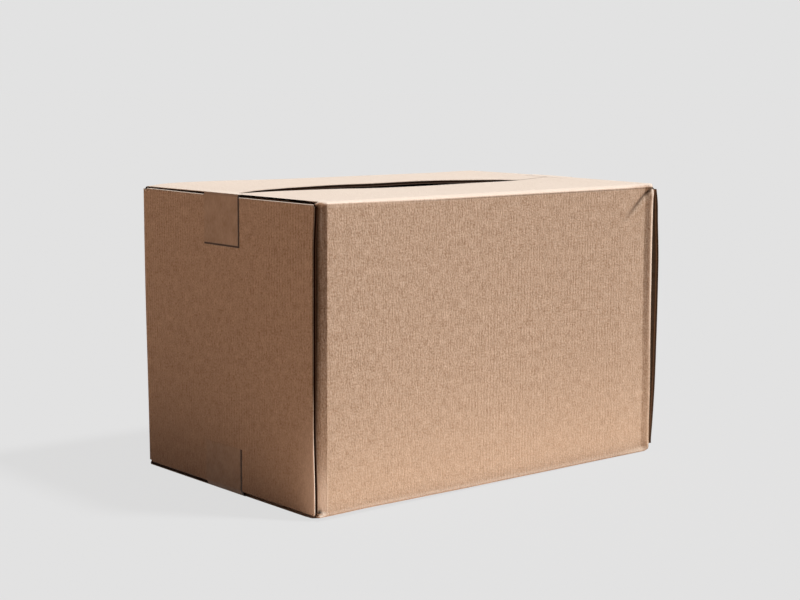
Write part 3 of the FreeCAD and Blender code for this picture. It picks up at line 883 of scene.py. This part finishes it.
# The next three colours are the painted top light, the pale of wear and painted highlight, and painted shade;
# the hollow colour is painted shade too.
TOP_LIGHT_PALE = (0.77, 0.69, 0.614, 1)
PALE_WEAR_AND_HIGHLIGHT = (0.95, 0.87, 0.78, 1)
PAINTED_SHADE_BROWN = (0.022, 0.012, 0.006, 1)
LINING = (0.40, 0.27, 0.18, 1)
HOLLOW_SHADE = (0.045, 0.022, 0.012, 1)
board, tree, shader = new_material("kraft_board")
spot = blank_map(tree)
clouds = noise(tree, spot, 130, 4)
grain = noise(tree, stretch(tree, spot, (1, 0.85, 1)), 720, 2, 0.7)
fibres = noise(tree, stretch(tree, spot, (1, 0.18, 1)), 800, 2)
drift = noise(tree, stretch(tree, spot, (1, 1, 1), (3, 1, 0)), 14, 2)
streaks = noise(tree, stretch(tree, spot, (1, 0.02, 1), (5, 2, 0)), 260, 2)

tone = calc(tree, "MULTIPLY_ADD", grain, 0.5, calc(tree, "MULTIPLY", clouds, 0.2))
tone = calc(tree, "MULTIPLY_ADD", fibres, 0.3, tone)
across, along_blank, _ = split_vector(tree, spot)
ribs = calc(tree, "SINE", calc(tree, "MULTIPLY", across, RIB_TURNS))
rib_zone = spread(tree, noise(tree, stretch(tree, spot, (1, 0.5, 1), (7, 3, 0)), 11, 1), 0.42, 0.62)
tone = calc(tree, "MULTIPLY_ADD", calc(tree, "MULTIPLY", ribs, rib_zone), 0.035, tone)
calm = spread(tree, along_blank, 0.17, 0.27, 0.72, 1.12)
tone = calc(tree, "MULTIPLY", calc(tree, "SUBTRACT", tone, 0.5), calm)
colour = blend(tree, spread(tree, tone, -0.14, 0.14), KRAFT_DARK, KRAFT_PALE)
# Painted light: the top and upward-facing folds turn paler.
colour = over_paint(tree, "painted_top_light", 0.88, colour, TOP_LIGHT_PALE)
# Partly wear, partly painted highlight and bounce light on ridges and folds.
colour = over_paint(tree, "wear_and_highlight", 0.9, colour, PALE_WEAR_AND_HIGHLIGHT)
# Painted shade in grooves, creases and along the dent.
colour = over_paint(tree, "painted_shade", 0.97, colour, PAINTED_SHADE_BROWN)
colour = over_paint(tree, "lining", 0.35, colour, LINING)
# Cut edges painted near-black: painted shade in their hollows.
colour = blend(tree, spread(tree, painted(tree, "cut"), 0.45, 0.75), colour, HOLLOW_SHADE)
put(tree, colour, shader.inputs["Base Color"])

# %% Give the board its skin
put(tree, spread(tree, grain, 0.3, 0.7, 0.82, 0.68), shader.inputs["Roughness"])
# No sheen where shade is painted.
put(tree, spread(tree, painted(tree, "painted_shade"), 0.0, 0.6, 0.16, 0.0), shader.inputs["Specular IOR Level"])
coarse = relief(tree, calc(tree, "MULTIPLY_ADD", streaks, 0.5, drift), 0.35 * MM, 0.5)
rough_skin = calc(tree, "MULTIPLY", calc(tree, "ADD", grain, fibres), calm)
put(tree, relief(tree, rough_skin, 0.5 * MM, 1.0, coarse), shader.inputs["Normal"])
carton.data.materials.append(board)
print("Board material with", len(tree.nodes), "nodes")

# %% [markdown]
# ## Paper tape
# The tape is kraft paper too, a little darker, yellower and smoother than the board, with a soft
# sheen. A thin dark line of painted shadow runs along most of its edges. Where it lies on the roof it
# is painted pale like the board, as painted light.

# %% Mix the tape
TAPE_DARK = (0.337, 0.245, 0.172, 1)
TAPE_PALE = (0.494, 0.397, 0.308, 1)
# The colour of the painted shadow along the tape's edges.
TAPE_EDGE_SHADOW = (0.03, 0.015, 0.008, 1)
tape, tree, shader = new_material("kraft_tape")
spot = blank_map(tree)
grain = noise(tree, stretch(tree, spot, (0.4, 1, 1)), 700, 3)
clouds = noise(tree, spot, 90, 3)
colour = blend(tree, spread(tree, calc(tree, "ADD", grain, clouds), 0.7, 1.3), TAPE_DARK, TAPE_PALE)
# Painted light on the roof and painted shadow along the edges.
colour = over_paint(tree, "painted_top_light", 0.88, colour, TOP_LIGHT_PALE)
colour = over_paint(tree, "rim", 0.95, colour, TAPE_EDGE_SHADOW)
put(tree, colour, shader.inputs["Base Color"])
shader.inputs["Roughness"].default_value = 0.58
shader.inputs["Specular IOR Level"].default_value = 0.2
put(tree, relief(tree, grain, 0.06 * MM, 0.5), shader.inputs["Normal"])
for piece in (left_tape, foot_tape, right_tape):
    piece.data.materials.append(tape)
print("Tape material with", len(tree.nodes), "nodes")

# %% [markdown]
# ## Floor and background
# The box stands on a plain pale floor, which throws warm light back on to the lower part of the walls.
# The camera sees the floor mostly as an even pale tone, with a share of the lit floor mixed in, so that
# the box's soft shadow stays.

# %% Lay the floor
BACKGROUND = 0.7605
PALE = (BACKGROUND, BACKGROUND, BACKGROUND, 1)
FLOOR_BOUNCE = (0.59, 0.39, 0.28, 1)
FLOOR_SEEN = (0.62, 0.64, 0.67, 1)
FLOOR_GLOW = 0.92
FLOOR_HALF = 40
corner_x, corner_y = np.meshgrid([-FLOOR_HALF, FLOOR_HALF], [-FLOOR_HALF, FLOOR_HALF], indexing="ij")
floor_points = np.stack([corner_x, corner_y, np.zeros_like(corner_x)], axis=-1).reshape(-1, 3)
floor_mesh = bpy.data.meshes.new("floor")
floor_mesh.from_pydata(floor_points.tolist(), [], [(0, 2, 3, 1)])
floor = bpy.data.objects.new("floor", floor_mesh)
bpy.context.scene.collection.objects.link(floor)

paint_floor = bpy.data.materials.new("pale_floor")
paint_floor.use_nodes = True
tree = paint_floor.node_tree
tree.nodes.clear()
diffuse = tree.nodes.new("ShaderNodeBsdfDiffuse")
seen = tree.nodes.new("ShaderNodeEmission")
seen.inputs["Color"].default_value = PALE
ways = tree.nodes.new("ShaderNodeLightPath")
mixer = tree.nodes.new("ShaderNodeMixShader")
direct = calc(tree, "MAXIMUM", ways.outputs["Is Camera Ray"], ways.outputs["Is Glossy Ray"])
put(tree, blend(tree, direct, FLOOR_BOUNCE, FLOOR_SEEN), diffuse.inputs["Color"])
put(tree, calc(tree, "MULTIPLY", direct, FLOOR_GLOW), mixer.inputs[0])
tree.links.new(diffuse.outputs[0], mixer.inputs[1])
tree.links.new(seen.outputs[0], mixer.inputs[2])
floor_output = tree.nodes.new("ShaderNodeOutputMaterial")
tree.links.new(mixer.outputs[0], floor_output.inputs["Surface"])
floor_mesh.materials.append(paint_floor)
print("Floor", 2 * FLOOR_HALF, "m wide")

# %% [markdown]
# ## Lamp and sky
# A sun with a wide disc gives soft shadows whose size doesn't depend on its distance. The sky lights the
# shaded sides dimly and looks pale only to the camera and in reflections. A dim flat lamp lies on
# the floor in front of the box and shines up along the front, where a pale floor throws most light.

# %% Light the scene
AMBIENT = (0.164, 0.105, 0.077, 1)
world = bpy.data.worlds.new("studio")
bpy.context.scene.world = world
world.use_nodes = True
tree = world.node_tree
tree.nodes.clear()
ways = tree.nodes.new("ShaderNodeLightPath")
straight = calc(tree, "MAXIMUM", ways.outputs["Is Camera Ray"], ways.outputs["Is Glossy Ray"])
straight = calc(tree, "MAXIMUM", straight, ways.outputs["Is Transmission Ray"])
sky = tree.nodes.new("ShaderNodeBackground")
put(tree, blend(tree, straight, AMBIENT, PALE), sky.inputs["Color"])
world_output = tree.nodes.new("ShaderNodeOutputWorld")
tree.links.new(sky.outputs[0], world_output.inputs["Surface"])

KEY_WAY = Vector((0.75, -0.85, 1.65)).normalized()
KEY_ENERGY = 1.3 * np.pi
KEY_DISC = np.radians(8)
key = bpy.data.objects.new("key_lamp", bpy.data.lights.new("key_lamp", "SUN"))
key.data.energy = KEY_ENERGY
key.data.angle = KEY_DISC
key.data.color = (1.0, 0.985, 0.965)
key.matrix_world = KEY_WAY.to_track_quat("Z", "Y").to_matrix().to_4x4()
bpy.context.scene.collection.objects.link(key)
bpy.context.scene.view_settings.view_transform = "Standard"

CARD_LONG, CARD_WIDE = 520 * MM, 90 * MM
CARD_PLACE = Vector((40, -172, 3)) * MM
CARD_ENERGY = 0.12
card = bpy.data.objects.new("floor_card", bpy.data.lights.new("floor_card", "AREA"))
card.data.shape = "RECTANGLE"
card.data.size = CARD_LONG
card.data.size_y = CARD_WIDE
card.data.energy = CARD_ENERGY
card.data.color = (1.0, 0.80, 0.62)
card.visible_camera = False
card.location = CARD_PLACE
card.rotation_euler = (np.pi, 0, 0)
bpy.context.scene.collection.objects.link(card)
print("Key lamp", round(key.data.energy, 2), "floor card", round(card.data.energy, 2))
